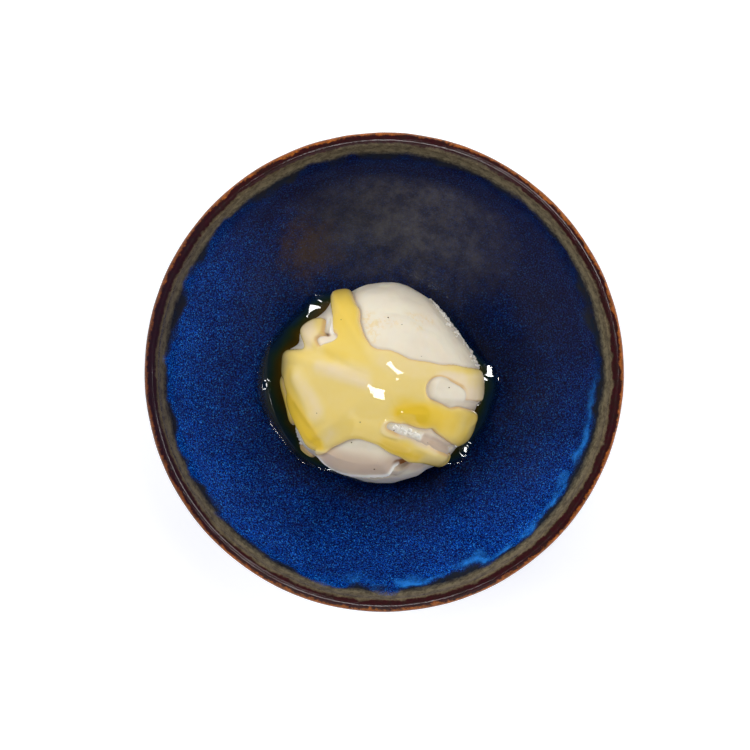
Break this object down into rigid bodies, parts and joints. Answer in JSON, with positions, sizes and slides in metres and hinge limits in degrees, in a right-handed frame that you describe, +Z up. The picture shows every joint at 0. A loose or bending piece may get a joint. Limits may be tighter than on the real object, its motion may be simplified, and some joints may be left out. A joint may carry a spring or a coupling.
{
  "type": "scoop of ice cream in a bowl",
  "caption": "Scoop of vanilla ice cream covered in thick lemon sauce, with a puddle of sauce round it, in a shallow glazed stoneware bowl on a foot ring.",
  "frame": {"origin": "on the table, under the middle of the bowl's foot ring", "axes": "+Z up along the bowl's axis, +Y to the back of the bowl, which is the top of the picture, +X to its right"},
  "size_m": [0.15, 0.15, 0.0514],
  "materials": {
    "glaze": "deep blue satin-gloss stoneware glaze, breaking to olive, maroon and amber at the lip",
    "ice_cream": "cream-white vanilla ice cream under glossy pale yellow lemon sauce",
    "sauce": "wet, see-through yellow sauce that looks dark green over the blue glaze"
  },
  "bodies": {
    "root": {"bowl": "glaze", "ice_cream_scoop": "ice_cream", "sauce_puddle": "sauce"}
  },
  "joints": []
}
